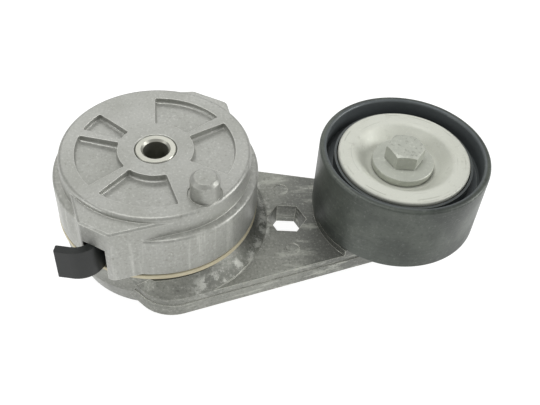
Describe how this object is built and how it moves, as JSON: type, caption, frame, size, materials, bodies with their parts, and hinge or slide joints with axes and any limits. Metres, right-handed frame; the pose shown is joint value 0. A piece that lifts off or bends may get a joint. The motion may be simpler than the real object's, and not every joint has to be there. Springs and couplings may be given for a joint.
{
  "type": "belt tensioner idler",
  "caption": "Automatic belt tensioner: round cast spring case, swinging cast arm and a plain steel idler pulley on a sealed ball bearing.",
  "frame": {"origin": "on the arm's pivot axis, in the mounting face of the spring case that bolts against the engine bracket", "axes": "+Z points out of the mounting face towards the engine bracket, +X from the pivot axis to the pulley axis, +Y completes a right-handed frame"},
  "size_m": [0.1919, 0.0959, 0.0676],
  "materials": {
    "case_aluminium": "blasted die-cast aluminium, light warm grey",
    "arm_aluminium": "as-cast aluminium, darker and stained",
    "pulley_steel": "dark matt steel with lighter rubbed edges",
    "zinc_steel": "matt zinc flake coating",
    "polished_steel": "turned bright steel",
    "spring_steel": "black oiled spring steel",
    "bearing_steel": "ground bearing steel",
    "cream_nylon": "undyed nylon",
    "cage_nylon": "black glass-filled nylon",
    "seal_rubber": "black nitrile rubber"
  },
  "bodies": {
    "case": {"spring_case": "case_aluminium", "pivot_tube": "polished_steel", "end_plate": "zinc_steel", "torsion_spring": "spring_steel", "upper_spring_guide": "cream_nylon"},
    "arm": {"tensioner_arm": "arm_aluminium", "upper_pivot_bushing": "cream_nylon", "lower_pivot_bushing": "cream_nylon", "damping_washer": "cream_nylon", "lower_spring_guide": "cream_nylon", "case_seal_ring": "cream_nylon", "pulley_bolt": "zinc_steel", "bolt_washer": "zinc_steel", "dust_cover": "zinc_steel", "bearing_spacer": "bearing_steel", "rear_dust_shield": "zinc_steel", "bearing_inner_ring": "bearing_steel"},
    "pulley": {"pulley_shell": "pulley_steel", "bearing_outer_ring": "bearing_steel", "front_bearing_seal": "seal_rubber", "rear_bearing_seal": "seal_rubber", "bearing_snap_ring": "spring_steel"},
    "ball_set": {"bearing_balls": "bearing_steel", "ball_cage": "cage_nylon"}
  },
  "joints": [
    {"name": "arm_swing", "type": "hinge", "parent": "case", "child": "arm", "pos_m": [0, 0, 0], "axis": [0, 0, 1], "range_deg": [0, 38], "stiffness_Nm_per_rad": 45, "springref_deg": -25.78, "deforming": ["torsion_spring"]},
    {"name": "pulley_spin", "type": "hinge", "parent": "arm", "child": "pulley", "pos_m": [0.1092, 0, 0], "axis": [0, 0, 1], "continuous": true},
    {"name": "ball_set_spin", "type": "hinge", "parent": "arm", "child": "ball_set", "pos_m": [0.1092, 0, 0], "axis": [0, 0, 1], "continuous": true}
  ],
  "couplings": [
    {"joint": "ball_set_spin", "follows": "pulley_spin", "ratio": 0.63641}
  ]
}
